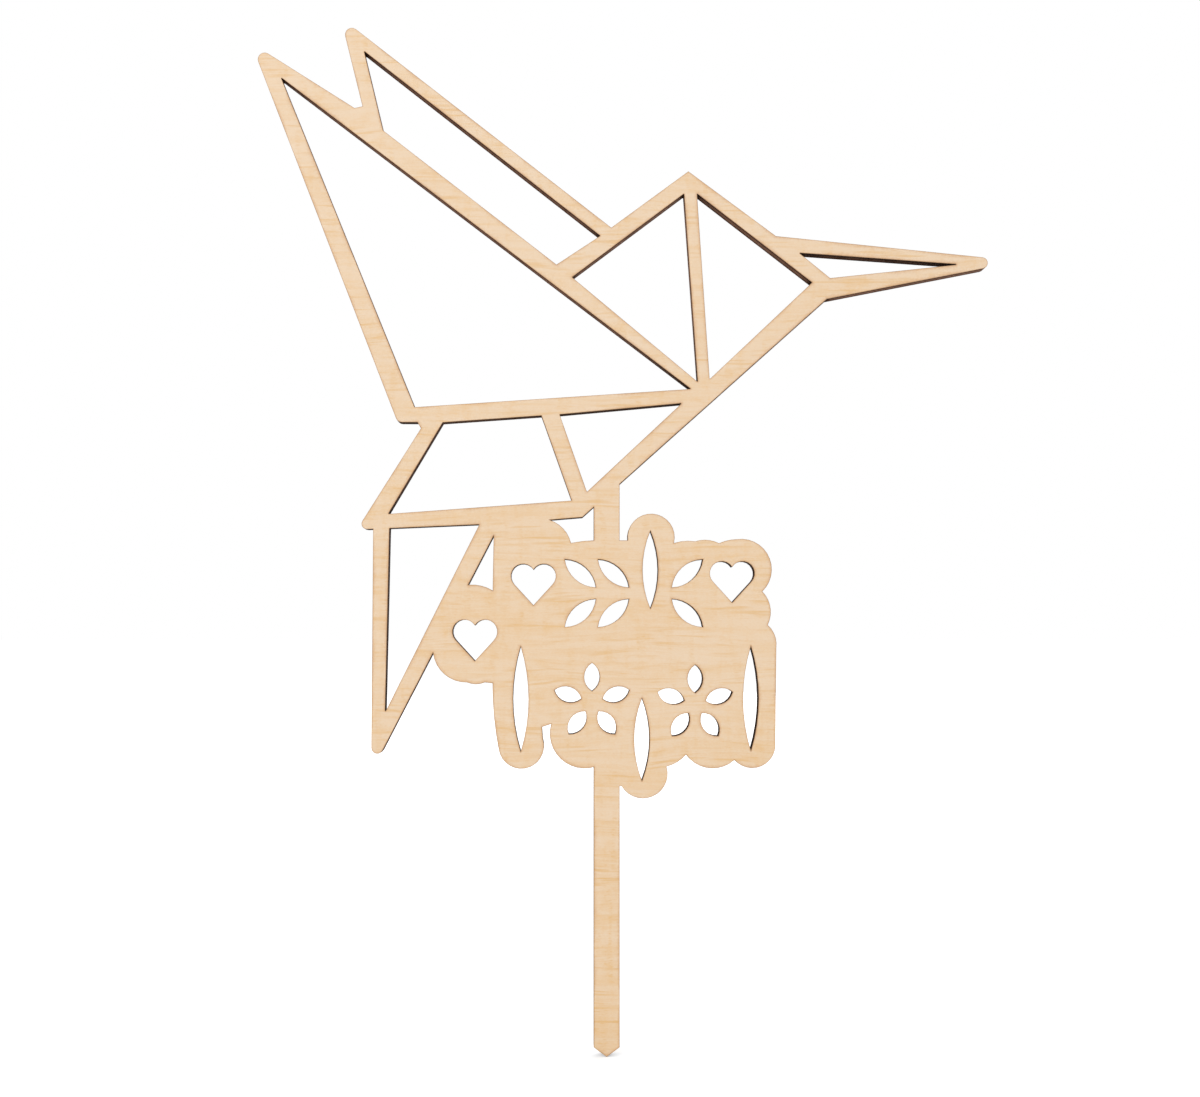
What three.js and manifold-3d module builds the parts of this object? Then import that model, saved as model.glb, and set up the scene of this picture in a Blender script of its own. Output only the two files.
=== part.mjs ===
// Cake topper, laser-cut in one piece from three-ply wood: a folded-paper hummingbird drawn in bars,
// a cloud-edged plaque pierced with hearts, blossoms and leaves, and one pointed stake.
//
// Millimetres. +Z runs up the stake, +X to the right of someone facing the front, and the front face
// looks along -Y. The origin is the stake's tip, halfway through the sheet.

import * as THREE from 'three';
import { mergeVertices } from 'three/addons/utils/BufferGeometryUtils.js';
import Module from 'manifold-3d';

// The sheet: two face veneers and a core, glued together
const faceVeneerThickness = 0.7;
const coreVeneerThickness = 1.4;
const glueLineThickness = 0.1;

// The stake, a strip that runs on up through the plaque to the bird's belly
const stakeWidth = 5.3;
const stakeFreeLength = 53.1;
const stakePointHeight = 2.0;

// The plaque hangs from the bird's bottom bar
const plaqueWidth = 70.6;
const plaqueHeight = 58.5;
const plaqueReachLeftOfStake = 35.7;
const keelAbovePlaque = 1.3;

// The bird's fold pattern, over the tips of its fold lines
const birdWidth = 150.8;
const birdHeight = 145.7;
const keelReachLeftOfStake = 4.8;

// The bird's outer corners
const wingTipRadius = 1.4;
const wingHeelRadius = 1.2;
const wingNotchCutAlongCrest = 2.4;
const wingNotchCutAlongLead = 1.7;
const flankNotchCut = 1.5;
const beakTipRadius = 1.17;
const rumpRadius = 1.1;
const tailTipRadius = 1.2;

// What half the laser's beam leaves in the corners of the openings between the bars
const beamRadius = 0.08;

// The plaque's piercings
const leafWidth = 3.2;
const uprightLeafLength = 21.6;
const pendantLeafLength = 17;
const crestLeafLength = 16;
const sprigLeafLength = 8.6;
const sprigSpineWidth = 2.4;
const sprigLeanDegrees = 42;
const petalLength = 5.8;
const petalCount = 5;
const blossomHubWidth = 4.6;
const heartWidth = 9.2;
const heartHeight = 8.5;

// How far a straight step may cut inside an arc, and how far a cut runs past the sheet's faces
const arcTolerance = 0.03;
const cutOverrun = 1;

// Fold points of the bird, as shares of its width and height from the front wing's tip and the tail's tip
const foldPointShares = {
  frontWingTip: [0, 0.9691],
  backWingTip: [0.1202, 1],
  wingHeel: [0.1935, 0.4632],
  wingCross: [0.1544, 0.8545],
  backWingRoot: [0.4746, 0.714],
  shoulder: [0.3979, 0.6595],
  crown: [0.5797, 0.7943],
  brow: [0.6941, 0.7048],
  throat: [0.7661, 0.647],
  beakRoot: [0.7581, 0.6397],
  beakTip: [1, 0.6772],
  breast: [0.6002, 0.4931],
  bellyTop: [0.3864, 0.4741],
  keel: [0.4349, 0.3324],
  flank: [0.2377, 0.4634],
  rump: [0.1479, 0.3121],
  tailHip: [0.1598, 0.312],
  tailRoot: [0.3133, 0.3215],
  tailTip: [0.155, 0],
};

// The bars: the fold points that each runs between, and its width at either end. The last four are long
// folds: each has one straight edge that several of the shorter bars share.
const bars = {
  wingCrest: { from: 'frontWingTip', to: 'wingCross', startWidth: 1.75, endWidth: 5.15 },
  wingRidge: { from: 'wingCross', to: 'shoulder', startWidth: 3.65, endWidth: 3.65 },
  breastRidge: { from: 'shoulder', to: 'breast', startWidth: 3.65, endWidth: 1.85 },
  wingLead: { from: 'frontWingTip', to: 'wingHeel', startWidth: 3.1, endWidth: 4.4 },
  backWingLead: { from: 'backWingTip', to: 'wingCross', startWidth: 3.05, endWidth: 2.9 },
  backWingCrest: { from: 'backWingTip', to: 'backWingRoot', startWidth: 2.5, endWidth: 2.7 },
  mantle: { from: 'shoulder', to: 'backWingRoot', startWidth: 3.7, endWidth: 3.1 },
  nape: { from: 'backWingRoot', to: 'crown', startWidth: 3.35, endWidth: 3.15 },
  forehead: { from: 'crown', to: 'brow', startWidth: 2.55, endWidth: 3 },
  cheek: { from: 'brow', to: 'throat', startWidth: 3.55, endWidth: 3 },
  upperBeak: { from: 'brow', to: 'beakTip', startWidth: 3.1, endWidth: 1.7 },
  lowerBeak: { from: 'beakRoot', to: 'beakTip', startWidth: 4.3, endWidth: 1.05 },
  neckFold: { from: 'breast', to: 'crown', startWidth: 2.45, endWidth: 2.65 },
  chest: { from: 'breast', to: 'throat', startWidth: 2.9, endWidth: 4.6 },
  belly: { from: 'keel', to: 'breast', startWidth: 3.7, endWidth: 3.5 },
  heelLink: { from: 'wingHeel', to: 'flank', startWidth: 3.05, endWidth: 3.15 },
  flankHem: { from: 'flank', to: 'bellyTop', startWidth: 3.3, endWidth: 3.3 },
  breastHem: { from: 'bellyTop', to: 'breast', startWidth: 3.45, endWidth: 3.1 },
  bellyFold: { from: 'bellyTop', to: 'keel', startWidth: 3.6, endWidth: 3.55 },
  flankBar: { from: 'flank', to: 'rump', startWidth: 3.1, endWidth: 3.8 },
  tailBar: { from: 'tailHip', to: 'tailRoot', startWidth: 2.7, endWidth: 3.5 },
  keelBar: { from: 'tailRoot', to: 'keel', startWidth: 3.75, endWidth: 3.9 },
  tailLead: { from: 'tailHip', to: 'tailTip', startWidth: 3.35, endWidth: 2.65 },
  tailTrail: { from: 'tailRoot', to: 'tailTip', startWidth: 3.7, endWidth: 3.05 },
  wingFold: { from: 'frontWingTip', to: 'breast', startWidth: 2.8, endWidth: 1.85 },
  wingHem: { from: 'flank', to: 'breast', startWidth: 3.7, endWidth: 2.25 },
  breastFold: { from: 'keel', to: 'throat', startWidth: 2.7, endWidth: 4.55 },
  bottomFold: { from: 'tailHip', to: 'keel', startWidth: 3.1, endWidth: 3.2 },
};

// The bird's outer edge, clockwise from the front: a side of each bar and the corner that follows it
const birdOutline = [
  { bar: 'wingCrest', side: 'left', cuts: [wingNotchCutAlongCrest, wingNotchCutAlongLead] },
  { bar: 'backWingLead', side: 'right', radius: wingTipRadius },
  { bar: 'backWingCrest', side: 'left' },
  { bar: 'nape', side: 'left' },
  { bar: 'forehead', side: 'left' },
  { bar: 'upperBeak', side: 'left', radius: beakTipRadius },
  { bar: 'lowerBeak', side: 'right' },
  { bar: 'breastFold', side: 'right' },
  { bar: 'keelBar', side: 'right' },
  { bar: 'tailBar', side: 'right', radius: rumpRadius },
  { bar: 'flankBar', side: 'right', cuts: [flankNotchCut, flankNotchCut] },
  { bar: 'heelLink', side: 'right', radius: wingHeelRadius },
  { bar: 'wingLead', side: 'right', radius: wingTipRadius },
];

// The tail's outer edge, closed along the middle of the bar that carries it
const tailOutline = [
  { bar: 'tailBar', side: 'middle' },
  { bar: 'tailTrail', side: 'left', radius: tailTipRadius },
  { bar: 'tailLead', side: 'right' },
];

// The openings between the bars
const facets = {
  backWing: [['backWingCrest', 'right'], ['mantle', 'left'], ['wingRidge', 'left'], ['backWingLead', 'left']],
  frontWing: [['wingFold', 'right'], ['wingHem', 'left'], ['wingLead', 'left']],
  mantle: [['nape', 'right'], ['neckFold', 'left'], ['breastRidge', 'left']],
  head: [['forehead', 'right'], ['chest', 'left'], ['neckFold', 'right']],
  beak: [['upperBeak', 'right'], ['lowerBeak', 'left'], ['cheek', 'left']],
  belly: [['flankHem', 'right'], ['bellyFold', 'right'], ['bottomFold', 'left'], ['flankBar', 'left']],
  breast: [['breastHem', 'right'], ['belly', 'left'], ['bellyFold', 'left']],
  tail: [['tailBar', 'right'], ['tailTrail', 'right'], ['tailLead', 'left']],
};

// The plaque's edge, clockwise from the stake: the points where its lobes meet, as shares of its width
// and height from its lower left corner, and how far the lobe that follows bulges out, as a share of half
// the distance to the next point. A point on a bar of the bird gives one share and takes its other place
// from the bar's middle.
const plaqueEdgeShares = [
  { x: 0.506, z: 0.907, bulge: 0 },
  { x: 0.567, z: 0.907, bulge: 1.21 },
  { x: 0.7015, z: 0.8975, bulge: 0.12 },
  { x: 0.763, z: 0.9035, bulge: 0.2 },
  { x: 0.8325, z: 0.897, bulge: 0.1 },
  { x: 0.884, z: 0.911, bulge: 0.73 },
  { x: 0.959, z: 0.7275, bulge: 0.32 },
  { x: 0.9745, z: 0.61, bulge: 0.25 },
  { x: 0.9995, z: 0.529, bulge: 0 },
  { x: 0.9965, z: 0.1985, bulge: 0.74 },
  { x: 0.8775, z: 0.1355, bulge: 0.45 },
  { x: 0.7365, z: 0.1545, bulge: 0.16 },
  { x: 0.68, z: 0.1125, bulge: 0.89 },
  { x: 0.549, z: 0.044, bulge: 0 },
  { x: 0.506, z: 0.044, bulge: 0 },
  { x: 0.4745, z: 0.1125, bulge: 0.605 },
  { x: 0.344, z: 0.262, bulge: 0 },
  { x: 0.3175, z: 0.2515, bulge: 0 },
  { x: 0.32, z: 0.21, bulge: 1.07 },
  { x: 0.192, z: 0.17, bulge: 0.05 },
  { x: 0.1735, z: 0.405, bulge: 0 },
  { x: 0.1515, z: 0.408, bulge: 0.2 },
  { x: 0.099, z: 0.408, bulge: 0.44 },
  { x: 0, z: 0.5325, bulge: 0 },
  { on: 'tailTrail', z: 0.5627, bulge: 0 },
  { on: 'tailTrail', z: 0.7412, bulge: 0.24 },
  { x: 0.174, z: 0.731, bulge: 0 },
  { on: 'keelBar', x: 0.178, bulge: 0 },
  { on: 'keelBar', x: 0.339, bulge: 0 },
  { x: 0.339, z: 0.979, bulge: 0.26 },
  { x: 0.402, z: 0.898, bulge: 0.06 },
];

// A heart's edge in the same way, clockwise from its notch, as shares of its own width and height
const heartEdgeShares = [
  { x: 0.5, z: 0.86, bulge: 1.1 },
  { x: 0.929, z: 0.508, bulge: 0 },
  { x: 0.5, z: 0, bulge: 0 },
  { x: 0.071, z: 0.508, bulge: 1.1 },
];

// Where the piercings stand on the plaque, as shares of its width and height: single leaves by their
// lower tip, sprigs by the point of their spine that a pair of leaves grows from, blossoms and hearts by
// their middle
const uprightLeafShares = [[0.2555, 0.165], [0.9255, 0.167]];
const pendantLeafShares = [[0.6085, 0.062]];
const crestLeafShares = [[0.633, 0.667]];
const leftSprigShares = [[0.571, 0.7215], [0.4745, 0.7215]];
const rightSprigShares = [[0.6955, 0.7215]];
const blossomShares = [[0.463, 0.338], [0.7635, 0.3316]];
const heartShares = [[0.122, 0.556], [0.2925, 0.752], [0.871, 0.761]];

const wasm = await Module();
wasm.setup();

const sheetThickness = 2 * (faceVeneerThickness + glueLineThickness) + coreVeneerThickness;
const plaqueTop = stakeFreeLength + plaqueHeight;
const keelHeight = plaqueTop + keelAbovePlaque;

// Points on the sheet are (x, z) pairs, kept as Vector2 with z as its y
const plan = (x, z) => new THREE.Vector2(x, z);

function foldPoint(name) {
  const [xShare, zShare] = foldPointShares[name];
  const [keelXShare, keelZShare] = foldPointShares.keel;
  return plan(
    (xShare - keelXShare) * birdWidth - keelReachLeftOfStake,
    (zShare - keelZShare) * birdHeight + keelHeight,
  );
}

function plaquePoint(xShare, zShare) {
  return plan(xShare * plaqueWidth - plaqueReachLeftOfStake, zShare * plaqueHeight + stakeFreeLength);
}

const leftOf = (direction) => plan(-direction.y, direction.x);

// One side of a bar, or its middle, as a line from start to end
function barEdge(name, side) {
  const bar = bars[name];
  const start = foldPoint(bar.from);
  const end = foldPoint(bar.to);
  const left = leftOf(end.clone().sub(start).normalize());
  const turn = { left: 1, middle: 0, right: -1 }[side];
  return {
    start: start.addScaledVector(left, turn * bar.startWidth / 2),
    end: end.addScaledVector(left, turn * bar.endWidth / 2),
  };
}

function meetingPoint(first, second) {
  const along = first.end.clone().sub(first.start);
  const across = second.end.clone().sub(second.start);
  const share = second.start.clone().sub(first.start).cross(across) / along.cross(across);
  return first.start.clone().addScaledVector(along, share);
}

// An arc's points without its last one, so that the next stretch of the outline can start there
function arcPoints(centre, radius, startAngle, sweep) {
  const widestStep = 2 * Math.acos(Math.max(0, 1 - arcTolerance / radius));
  const steps = Math.ceil(Math.abs(sweep) / widestStep);
  return Array.from({ length: steps }, (_, step) => {
    const angle = startAngle + sweep * step / steps;
    return plan(centre.x + radius * Math.cos(angle), centre.y + radius * Math.sin(angle));
  });
}

// A stretch from start towards end that bulges to the left by a share of half its length
function bulgedStretch(start, end, bulge) {
  if (bulge === 0) return [start];
  const halfLength = start.distanceTo(end) / 2;
  const sweep = -4 * Math.atan(bulge);
  const radius = halfLength / Math.sin(-sweep / 2);
  const left = leftOf(end.clone().sub(start).normalize());
  const centre = start.clone().add(end).divideScalar(2).addScaledVector(left, halfLength * bulge - radius);
  return arcPoints(centre, radius, start.clone().sub(centre).angle(), sweep);
}

const bulgedOutline = (corners) => corners.flatMap(({ point, bulge }, index) => (
  bulgedStretch(point, corners[(index + 1) % corners.length].point, bulge)
));

// A corner rounded off with a radius
function roundedCorner(before, corner, after, radius) {
  const inward = before.clone().sub(corner).normalize();
  const outward = after.clone().sub(corner).normalize();
  const halfAngle = Math.acos(THREE.MathUtils.clamp(inward.dot(outward), -1, 1)) / 2;
  const setback = radius / Math.tan(halfAngle);
  const start = corner.clone().addScaledVector(inward, setback);
  const end = corner.clone().addScaledVector(outward, setback);
  const bisector = inward.clone().add(outward).normalize();
  const centre = corner.clone().addScaledVector(bisector, radius / Math.sin(halfAngle));
  const startAngle = start.clone().sub(centre).angle();
  const turn = Math.sign(outward.cross(inward));
  return [...arcPoints(centre, radius, startAngle, turn * (Math.PI - 2 * halfAngle)), end];
}

// A corner with its point cut off, so far back along the side before it and the side after it
function cutCorner(before, corner, after, cuts) {
  return [before, after].map((neighbour, side) => (
    corner.clone().addScaledVector(neighbour.clone().sub(corner).normalize(), cuts[side])
  ));
}

function outlineFromBars(edges) {
  const lines = edges.map(({ bar, side }) => barEdge(bar, side));
  const corners = lines.map((line, index) => meetingPoint(line, lines[(index + 1) % lines.length]));
  return corners.flatMap((corner, index) => {
    const before = corners.at(index - 1);
    const after = corners[(index + 1) % corners.length];
    const { radius, cuts } = edges[index];
    if (radius) return roundedCorner(before, corner, after, radius);
    if (cuts) return cutCorner(before, corner, after, cuts);
    return [corner];
  });
}

const facetOutline = (sides) => outlineFromBars(sides.map(([bar, side]) => (
  { bar, side, radius: beamRadius }
)));

function plaqueEdgePoint({ on, x, z }) {
  if (!on) return plaquePoint(x, z);
  const level = { start: plaquePoint(x ?? 0, z ?? 0), end: plaquePoint(x ?? 1, z ?? 1) };
  return meetingPoint(barEdge(on, 'middle'), level);
}

const plaqueOutline = () => bulgedOutline(plaqueEdgeShares.map((place) => (
  { point: plaqueEdgePoint(place), bulge: place.bulge }
)));

// The stake's strip, from its point up to the middle of the belly bar
function stakeOutline() {
  const belly = barEdge('belly', 'middle');
  const side = (x) => ({ start: plan(x, 0), end: plan(x, keelHeight) });
  const right = side(stakeWidth / 2);
  const left = side(-stakeWidth / 2);
  return [
    plan(0, 0),
    plan(stakeWidth / 2, stakePointHeight),
    meetingPoint(right, belly),
    meetingPoint(left, belly),
    plan(-stakeWidth / 2, stakePointHeight),
  ];
}

// A leaf pointed at both ends, grown from its root at an angle from upright
function leafOutline(root, length, leanDegrees = 0) {
  const lean = THREE.MathUtils.degToRad(leanDegrees);
  const tip = root.clone().add(plan(length * Math.sin(lean), length * Math.cos(lean)));
  const bulge = leafWidth / length;
  return [...bulgedStretch(root, tip, bulge), ...bulgedStretch(tip, root, bulge)];
}

// A pair of leaves on either side of a sprig's spine, which runs left (-1) or right (1) from the foot
function leafPair(foot, heading) {
  return [-1, 1].map((side) => {
    const root = foot.clone().add(plan(0, side * sprigSpineWidth / 2));
    return leafOutline(root, sprigLeafLength, heading * (90 - side * sprigLeanDegrees));
  });
}

// Petals round a hub, the first one upright
function blossomOutlines(centre) {
  return Array.from({ length: petalCount }, (_, petal) => {
    const turn = 2 * Math.PI * petal / petalCount;
    const root = centre.clone().add(plan(Math.sin(turn), Math.cos(turn)).multiplyScalar(blossomHubWidth / 2));
    return leafOutline(root, petalLength, THREE.MathUtils.radToDeg(turn));
  });
}

function heartOutline(centre) {
  return bulgedOutline(heartEdgeShares.map(({ x, z, bulge }) => ({
    point: plan(centre.x + (x - 1 / 2) * heartWidth, centre.y + (z - 1 / 2) * heartHeight),
    bulge,
  })));
}

function piercings() {
  const at = (shares) => shares.map(([x, z]) => plaquePoint(x, z));
  return [
    ...at(uprightLeafShares).map((tip) => leafOutline(tip, uprightLeafLength)),
    ...at(pendantLeafShares).map((tip) => leafOutline(tip, pendantLeafLength)),
    ...at(crestLeafShares).map((tip) => leafOutline(tip, crestLeafLength)),
    ...at(leftSprigShares).flatMap((foot) => leafPair(foot, -1)),
    ...at(rightSprigShares).flatMap((foot) => leafPair(foot, 1)),
    ...at(blossomShares).flatMap(blossomOutlines),
    ...at(heartShares).map(heartOutline),
  ];
}

// A solid of unit depth over an outline, with an overrun past both faces for a cut
function slab(outline, overrun = 0) {
  const geometry = new THREE.ExtrudeGeometry(new THREE.Shape(outline), {
    depth: 1 + 2 * overrun,
    bevelEnabled: false,
  });
  geometry.translate(0, 0, -overrun);
  geometry.deleteAttribute('normal');
  geometry.deleteAttribute('uv');
  const merged = mergeVertices(geometry);
  return new wasm.Manifold(new wasm.Mesh({
    numProp: 3,
    vertProperties: merged.attributes.position.array,
    triVerts: Uint32Array.from(merged.index.array),
  }));
}

// The whole sheet cut to shape, one unit thick
function cutSheet() {
  const wood = [outlineFromBars(birdOutline), outlineFromBars(tailOutline), plaqueOutline(), stakeOutline()];
  const cuts = [...Object.values(facets).map(facetOutline), ...piercings()];
  const joined = wood.map((outline) => slab(outline)).reduce((whole, piece) => whole.add(piece));
  return cuts.reduce((whole, outline) => whole.subtract(slab(outline, cutOverrun)), joined).getMesh();
}

// One ply: the cut sheet stood up between a front and a back plane
function plyGeometry(sheet, frontY, backY) {
  const position = [];
  for (let at = 0; at < sheet.vertProperties.length; at += sheet.numProp) {
    const [x, z, depth] = sheet.vertProperties.subarray(at, at + 3);
    position.push(x, depth > 1 / 2 ? frontY : backY, z);
  }
  const geometry = new THREE.BufferGeometry();
  geometry.setAttribute('position', new THREE.Float32BufferAttribute(position, 3));
  geometry.setIndex(Array.from(sheet.triVerts));
  const faceted = geometry.toNonIndexed();
  faceted.computeVertexNormals();
  return faceted;
}

const wood = (color, roughness) => new THREE.MeshStandardMaterial({ color, roughness, metalness: 0 });
const plies = [
  { name: 'front_veneer', thickness: faceVeneerThickness, material: wood('#eed5b6', 0.6) },
  { name: 'front_glue_line', thickness: glueLineThickness, material: wood('#2a1b14', 0.8) },
  { name: 'core_veneer', thickness: coreVeneerThickness, material: wood('#5a4337', 0.75) },
  { name: 'back_glue_line', thickness: glueLineThickness, material: wood('#2a1b14', 0.8) },
  { name: 'back_veneer', thickness: faceVeneerThickness, material: wood('#e9ceac', 0.65) },
];

const topper = new THREE.Group();
const sheet = cutSheet();
let frontY = -sheetThickness / 2;
for (const { name, thickness, material } of plies) {
  const backY = frontY + thickness;
  const ply = new THREE.Mesh(plyGeometry(sheet, frontY, backY), material);
  ply.name = name;
  topper.add(ply);
  frontY = backY;
}

export default topper;
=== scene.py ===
"""Looks of a laser-cut plywood cake topper.

A folded-paper hummingbird drawn in open bars stands over a cloud-edged plaque pierced with hearts,
blossoms and leaves, on one pointed stake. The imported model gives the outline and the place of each
ply. This script cuts every ply again along that outline, with the broken edge and the burn that a
laser leaves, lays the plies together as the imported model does, and gives each one its finish.

Lengths are millimetres wherever a name or a docstring says so, and metres in Blender's own objects.
"""

import logging
import math
from dataclasses import dataclass, replace
from enum import Enum
from typing import Iterable, Mapping, Optional, Sequence, Union

import bpy
import numpy as np
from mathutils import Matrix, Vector
from mathutils.geometry import delaunay_2d_cdt
from mathutils.kdtree import KDTree

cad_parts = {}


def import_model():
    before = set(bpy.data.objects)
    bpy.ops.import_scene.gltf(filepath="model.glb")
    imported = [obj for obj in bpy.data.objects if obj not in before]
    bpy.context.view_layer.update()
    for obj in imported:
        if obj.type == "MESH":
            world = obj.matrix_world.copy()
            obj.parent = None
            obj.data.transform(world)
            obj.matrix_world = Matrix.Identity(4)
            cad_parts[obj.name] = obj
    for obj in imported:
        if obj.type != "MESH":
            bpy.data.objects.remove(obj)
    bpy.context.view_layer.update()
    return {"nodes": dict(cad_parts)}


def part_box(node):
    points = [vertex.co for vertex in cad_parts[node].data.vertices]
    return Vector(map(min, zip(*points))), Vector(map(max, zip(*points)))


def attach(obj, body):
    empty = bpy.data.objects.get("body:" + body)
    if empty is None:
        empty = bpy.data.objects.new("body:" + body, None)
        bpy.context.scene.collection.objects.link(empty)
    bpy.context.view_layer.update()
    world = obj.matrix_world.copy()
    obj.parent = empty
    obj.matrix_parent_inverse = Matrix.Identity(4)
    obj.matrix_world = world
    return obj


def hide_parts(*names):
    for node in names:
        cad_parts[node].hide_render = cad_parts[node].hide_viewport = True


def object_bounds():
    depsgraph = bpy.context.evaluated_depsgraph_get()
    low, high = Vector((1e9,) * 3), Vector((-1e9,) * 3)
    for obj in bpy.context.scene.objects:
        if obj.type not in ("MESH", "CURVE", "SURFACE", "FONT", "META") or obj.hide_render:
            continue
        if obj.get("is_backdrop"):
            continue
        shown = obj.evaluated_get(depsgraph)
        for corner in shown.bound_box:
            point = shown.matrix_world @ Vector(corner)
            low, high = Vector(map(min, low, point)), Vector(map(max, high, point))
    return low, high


log = logging.getLogger("topper")

Socket = bpy.types.NodeSocket
Span = tuple[float, float]
Place = tuple[float, float, float]
Rgba = tuple[float, float, float, float]
Feed = Union[Socket, float, int, bool, str, Sequence[float], bpy.types.ID]
Inputs = Mapping[Union[str, int], Feed]

MM_PER_METRE = 1000.0
WHOLE_BODY = "root"
WHITE: Rgba = (1.0, 1.0, 1.0, 1.0)
FULL: Span = (0.0, 1.0)
NOISE_MIDDLE = 0.5

# Names of what the meshes carry for their materials
EDGE_DISTANCE = "edge_distance"
DWELL = "dwell"
INWARD = "inward"
SMOKE = "smoke"


class RecordSlot(Enum):
    """The plies' material slots."""

    FACE_VENEER = "face_veneer"
    CORE_VENEER = "core_veneer"
    GLUE_LINE = "glue_line"


class Facing(Enum):
    """Which way the broken edge of a ply looks: -1 along -Y, out of the front, and 1 along +Y."""

    FRONT = -1
    BACK = 1


class Cap(Enum):
    """How finely the flat faces of a ply are divided."""

    SHOWN = "shown"
    HIDDEN = "hidden"


@dataclass(frozen=True)
class Colour:
    """A colour as a screen shows it.

    Attributes:
        code: its six hexadecimal digits, red first.
    """

    code: str

    # The screen's curve is straight below the foot, and a power above it
    byte_limit = 255
    foot_share = 0.04045
    foot_divisor = 12.92
    lift_share = 0.055
    power = 2.4

    def linear(self) -> Rgba:
        """Returns the colour as linear red, green and blue shares and a full alpha."""
        red, green, blue = (self._linear_share(byte / self.byte_limit) for byte in bytes.fromhex(self.code))
        return (red, green, blue, 1.0)

    def _linear_share(self, share: float) -> float:
        """Returns the linear light of one screen share."""
        curved = ((share + self.lift_share) / (1 + self.lift_share)) ** self.power
        return share / self.foot_divisor if share <= self.foot_share else curved


@dataclass
class Bench:
    """Adds nodes to one tree and joins them.

    Attributes:
        tree: the shader or geometry node tree that every call adds to.
    """

    tree: bpy.types.NodeTree

    # A Mix node names its sockets alike for every type, so the ones for colours go by number
    first_colour = 6
    second_colour = 7
    mixed_colour = 2

    def feed(self, socket: Socket, value: Feed) -> None:
        """Joins a socket to an output, or sets its own value.

        Args:
            socket: the input to fill.
            value: an output socket, or a plain value.
        """
        if isinstance(value, bpy.types.NodeSocket):
            self.tree.links.new(value, socket)
        else:
            socket.default_value = value

    def add(self, kind: str, inputs: Optional[Inputs] = None, **settings: object) -> bpy.types.Node:
        """Adds one node.

        Args:
            kind: Blender's name for the type of node.
            inputs: what goes into each input, by its name or its number.
            settings: the node's own properties.

        Returns:
            The new node.
        """
        node = self.tree.nodes.new(kind)
        for name, value in settings.items():
            setattr(node, name, value)
        for key, value in (inputs or {}).items():
            self.feed(node.inputs[key], value)
        return node

    def made(self, kind: str, inputs: Optional[Inputs] = None, **settings: object) -> Socket:
        """Adds one node, as add does, and returns its first output."""
        return self.add(kind, inputs, **settings).outputs[0]

    def calc(self, operation: str, *values: Feed) -> Socket:
        """Returns the result of a Math node, from Blender's name for the sum and its terms."""
        return self.made("ShaderNodeMath", dict(enumerate(values)), operation=operation)

    def scaled(self, vector: Feed, factor: Feed) -> Socket:
        """Returns a vector multiplied by one number."""
        return self.made("ShaderNodeVectorMath", {"Vector": vector, "Scale": factor}, operation="SCALE")

    def split(self, vector: Feed) -> bpy.types.NodeOutputs:
        """Returns the parts of a vector, named X, Y and Z."""
        return self.add("ShaderNodeSeparateXYZ", {0: vector}).outputs

    def joined(self, x: Feed, y: Feed, z: Feed) -> Socket:
        """Returns the vector of three parts."""
        return self.made("ShaderNodeCombineXYZ", {"X": x, "Y": y, "Z": z})

    def ramp(self, value: Feed, span: Span, results: Span = FULL) -> Socket:
        """Maps a value smoothly from one range to another.

        Args:
            value: what is mapped.
            span: where the smooth step starts and where it ends.
            results: the results there, which also hold beyond.

        Returns:
            The mapped value's socket.
        """
        inputs = {"Value": value, "From Min": span[0], "From Max": span[1]}
        inputs.update({"To Min": results[0], "To Max": results[1]})
        return self.made("ShaderNodeMapRange", inputs, interpolation_type="SMOOTHSTEP")

    def blend(self, share: Feed, first: Feed, second: Feed) -> Socket:
        """Returns a mix of two colours: the first where the share is 0, and the second where it is 1."""
        inputs = {"Factor": share, self.first_colour: first, self.second_colour: second}
        return self.add("ShaderNodeMix", inputs, data_type="RGBA").outputs[self.mixed_colour]

    def noise(self, place: Feed, detail: float, roughness: float) -> Socket:
        """Returns a noise one unit across, read at a place, with finer layers that count by its roughness."""
        inputs = {"Vector": place, "Scale": 1.0, "Detail": detail, "Roughness": roughness}
        return self.made("ShaderNodeTexNoise", inputs, noise_dimensions="3D")


@dataclass(frozen=True)
class Port:
    """One socket of a node group.

    Attributes:
        name: what it is called.
        kind: Blender's socket type.
        default: its value until something is joined to it, or None to leave Blender's.
    """

    name: str
    kind: str
    default: Union[float, Rgba, None] = None


class GroupRecipe:
    """A node group that is built once and placed wherever it is needed."""

    name = ""
    tree_kind = "ShaderNodeTree"
    ports_in: tuple[Port, ...] = ()
    ports_out: tuple[Port, ...] = ()

    def tree(self) -> bpy.types.NodeTree:
        """Builds the group's tree on the first call, and finds it on later ones.

        Returns:
            The tree.
        """
        found = bpy.data.node_groups.get(self.name)
        if found is not None:
            return found
        tree = bpy.data.node_groups.new(self.name, self.tree_kind)
        for in_out, ports in (("INPUT", self.ports_in), ("OUTPUT", self.ports_out)):
            for port in ports:
                socket = tree.interface.new_socket(port.name, in_out=in_out, socket_type=port.kind)
                if port.default is not None:
                    socket.default_value = port.default
        bench = Bench(tree)
        given = bench.add("NodeGroupInput").outputs
        made = self.build(bench, {port.name: given[port.name] for port in self.ports_in})
        bench.add("NodeGroupOutput", made)
        return tree

    def build(self, bench: Bench, given: Mapping[str, Socket]) -> dict[str, Socket]:
        """Adds the group's nodes, given its inputs by name, and returns what goes to each output."""
        raise NotImplementedError

    def place(self, bench: Bench, inputs: Inputs) -> bpy.types.NodeOutputs:
        """Returns the outputs of the group, placed in a material with what goes into each of its inputs."""
        return bench.add("ShaderNodeGroup", inputs, node_tree=self.tree()).outputs


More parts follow.
